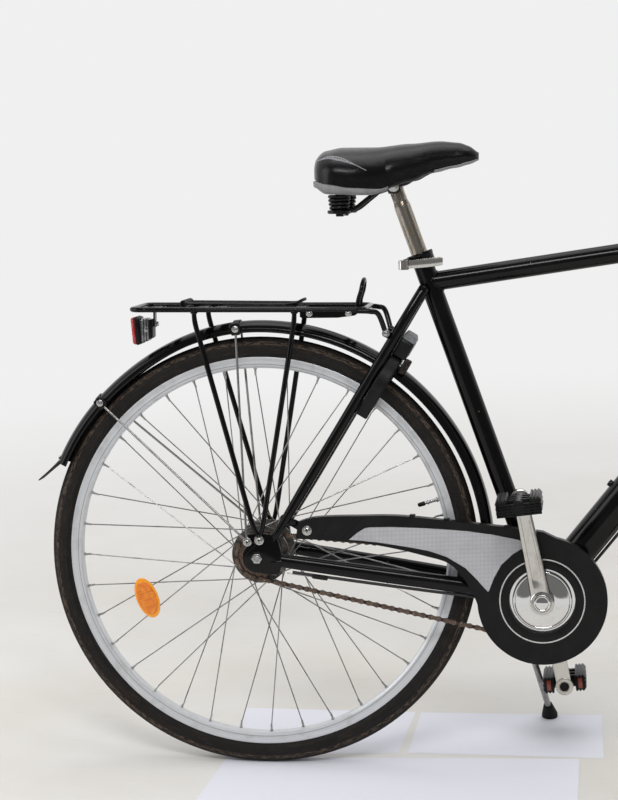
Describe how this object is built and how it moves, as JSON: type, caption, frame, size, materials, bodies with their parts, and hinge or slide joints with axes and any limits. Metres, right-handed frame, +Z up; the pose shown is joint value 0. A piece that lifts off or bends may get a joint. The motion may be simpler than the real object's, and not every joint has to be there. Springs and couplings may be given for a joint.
{
  "type": "city bicycle",
  "caption": "City bicycle with a rear rack, mudguards, chain guard, ring lock and side stand, parked leaning on its stand.",
  "frame": {"origin": "centre of the whole bicycle on the ground", "axes": "+X towards the front wheel, +Y to the rider's left, +Z up; the bicycle leans to its left on the stand by 7.1 degrees about X"},
  "size_m": [1.7892, 0.6734, 1.1362],
  "materials": {
    "aged_tyre": "worn",
    "black_rubber": "matte",
    "black_vinyl": "gloss",
    "black_wire": "satin",
    "chrome": "bright",
    "gloss_black_paint": "gloss",
    "grey_plastic": "matte",
    "orange_reflector": "gloss",
    "polished_alloy": "polished",
    "red_lens": "clear",
    "rusty_steel": "rusty",
    "satin_alloy": "satin",
    "satin_black_plastic": "satin",
    "steel": "zinc"
  },
  "bodies": {
    "frame": {"head_tube": "gloss_black_paint", "top_tube": "gloss_black_paint", "down_tube": "gloss_black_paint", "seat_tube": "gloss_black_paint", "bottom_bracket_shell": "gloss_black_paint", "chain_stay_left": "gloss_black_paint", "chain_stay_right": "gloss_black_paint", "seat_stay_left": "gloss_black_paint", "seat_stay_right": "gloss_black_paint", "seat_clamp_collar": "gloss_black_paint", "rack_frame": "gloss_black_paint", "rack_legs_left": "gloss_black_paint", "rack_legs_right": "gloss_black_paint", "rear_lamp_body": "satin_black_plastic", "rear_lamp_lens": "red_lens", "rear_mudguard": "gloss_black_paint", "mudguard_stays_left": "steel", "mudguard_stays_right": "steel", "ring_lock_body": "satin_black_plastic", "chain_guard": "satin_black_plastic", "chain": "rusty_steel", "rear_axle": "steel", "shift_cable": "black_wire"},
    "seat": {"seat_post": "steel", "saddle_clamp": "black_wire", "saddle_rails": "black_wire", "saddle_base": "grey_plastic", "saddle_cover": "black_vinyl", "saddle_spring_left": "black_wire", "saddle_spring_right": "black_wire"},
    "clamp_lever": {"seat_clamp_lever": "polished_alloy"},
    "rack_clip": {"rack_spring_clip": "black_wire"},
    "shackle": {"lock_shackle": "steel"},
    "stand": {"stand_leg": "satin_alloy", "stand_foot": "black_rubber"},
    "crankset": {"bottom_bracket_axle": "steel", "chainring": "chrome", "crank_arm_left": "polished_alloy", "crank_arm_right": "polished_alloy"},
    "pedal_r": {"pedal_right": "satin_black_plastic"},
    "pedal_l": {"pedal_left": "satin_black_plastic"},
    "sprocket": {"rear_sprocket": "rusty_steel"},
    "rear_wheel": {"rear_hub_and_spokes": "satin_alloy", "rear_rim": "polished_alloy", "rear_tyre": "aged_tyre", "spoke_reflector": "orange_reflector"},
    "steering": {"fork": "gloss_black_paint", "stem": "satin_alloy", "handlebar": "satin_alloy", "grip_left": "black_rubber", "grip_right": "black_rubber", "front_mudguard": "gloss_black_paint", "brake_cable": "black_wire"},
    "front_wheel": {"front_hub_and_spokes": "satin_alloy", "front_rim": "polished_alloy", "front_tyre": "aged_tyre"},
    "twister": {"shift_twister": "black_rubber"},
    "lever": {"brake_lever": "satin_black_plastic"},
    "brake_r": {"brake_arm_right": "satin_black_plastic"},
    "brake_l": {"brake_arm_left": "satin_black_plastic"}
  },
  "joints": [
    {"name": "steering_turn", "type": "hinge", "parent": "frame", "child": "steering", "pos_m": [0.35298, -0.05157, 0.73013], "axis": [-0.342, 0.1161, 0.9325], "range_deg": [-60, 60], "deforming": ["shift_cable"]},
    {"name": "front_wheel_spin", "type": "hinge", "parent": "steering", "child": "front_wheel", "pos_m": [0.54772, -0.09963, 0.34427], "axis": [0, 0.9923, -0.1236], "continuous": true},
    {"name": "rear_wheel_spin", "type": "hinge", "parent": "frame", "child": "rear_wheel", "pos_m": [-0.52478, -0.09963, 0.34427], "axis": [0, 0.9923, -0.1236], "continuous": true},
    {"name": "crank_spin", "type": "hinge", "parent": "frame", "child": "crankset", "pos_m": [-0.07404, -0.10767, 0.27976], "axis": [0, 0.9923, -0.1236], "continuous": true},
    {"name": "sprocket_spin", "type": "hinge", "parent": "frame", "child": "sprocket", "pos_m": [-0.52478, -0.09963, 0.34427], "axis": [0, 0.9923, -0.1236], "continuous": true},
    {"name": "pedal_right_spin", "type": "hinge", "parent": "crankset", "child": "pedal_r", "pos_m": [-0.10794, -0.08708, 0.44507], "axis": [0, 0.9923, -0.1236], "continuous": true},
    {"name": "pedal_left_spin", "type": "hinge", "parent": "crankset", "child": "pedal_l", "pos_m": [-0.04015, -0.12826, 0.11446], "axis": [0, 0.9923, -0.1236], "continuous": true},
    {"name": "stand_fold", "type": "hinge", "parent": "frame", "child": "stand", "pos_m": [-0.11574, -0.08483, 0.23661], "axis": [0.1697, 0.7931, 0.585], "range_deg": [0, 100.1]},
    {"name": "seat_height", "type": "slide", "parent": "frame", "child": "seat", "axis": [-0.3387, 0.1163, 0.9337], "range_m": [-0.08, 0.06]},
    {"name": "clamp_lever_swing", "type": "hinge", "parent": "frame", "child": "clamp_lever", "pos_m": [-0.29353, -0.06644, 0.80657], "axis": [0, -0.1236, -0.9923], "range_deg": [0, 150]},
    {"name": "rack_clip_lift", "type": "hinge", "parent": "frame", "child": "rack_clip", "pos_m": [-0.64578, -0.04992, 0.74338], "axis": [0, -0.9923, 0.1236], "range_deg": [0, 60], "stiffness_Nm_per_rad": 1, "springref_deg": -28.65},
    {"name": "lock_shackle_slide", "type": "hinge", "parent": "frame", "child": "shackle", "pos_m": [-0.3296, -0.06553, 0.61807], "axis": [0.8579, -0.0635, -0.5098], "range_deg": [0, 95], "stiffness_Nm_per_rad": 0.25, "springref_deg": -28.65},
    {"name": "lever_squeeze", "type": "hinge", "parent": "steering", "child": "lever", "pos_m": [0.2631, 0.25194, 1.04975], "axis": [0, 0.1236, 0.9923], "range_deg": [0, 18], "stiffness_Nm_per_rad": 1.5, "springref_deg": -17.19, "deforming": ["brake_cable"]},
    {"name": "brake_right_swing", "type": "hinge", "parent": "steering", "child": "brake_r", "pos_m": [0.42837, -0.10847, 0.60508], "axis": [-0.9397, -0.0423, -0.3394], "range_deg": [0, 4.7]},
    {"name": "brake_left_swing", "type": "hinge", "parent": "steering", "child": "brake_l", "pos_m": [0.42837, -0.02709, 0.59495], "axis": [0.9397, 0.0423, 0.3394], "range_deg": [0, 4.7]},
    {"name": "twister_turn", "type": "hinge", "parent": "steering", "child": "twister", "pos_m": [0.21712, -0.25377, 1.11158], "axis": [-0.8393, -0.5354, -0.0944], "range_deg": [0, 120]}
  ],
  "couplings": [
    {"joint": "sprocket_spin", "follows": "crank_spin", "ratio": 1.8333},
    {"joint": "brake_right_swing", "follows": "lever_squeeze", "ratio": 0.25556},
    {"joint": "brake_left_swing", "follows": "lever_squeeze", "ratio": 0.25556}
  ]
}
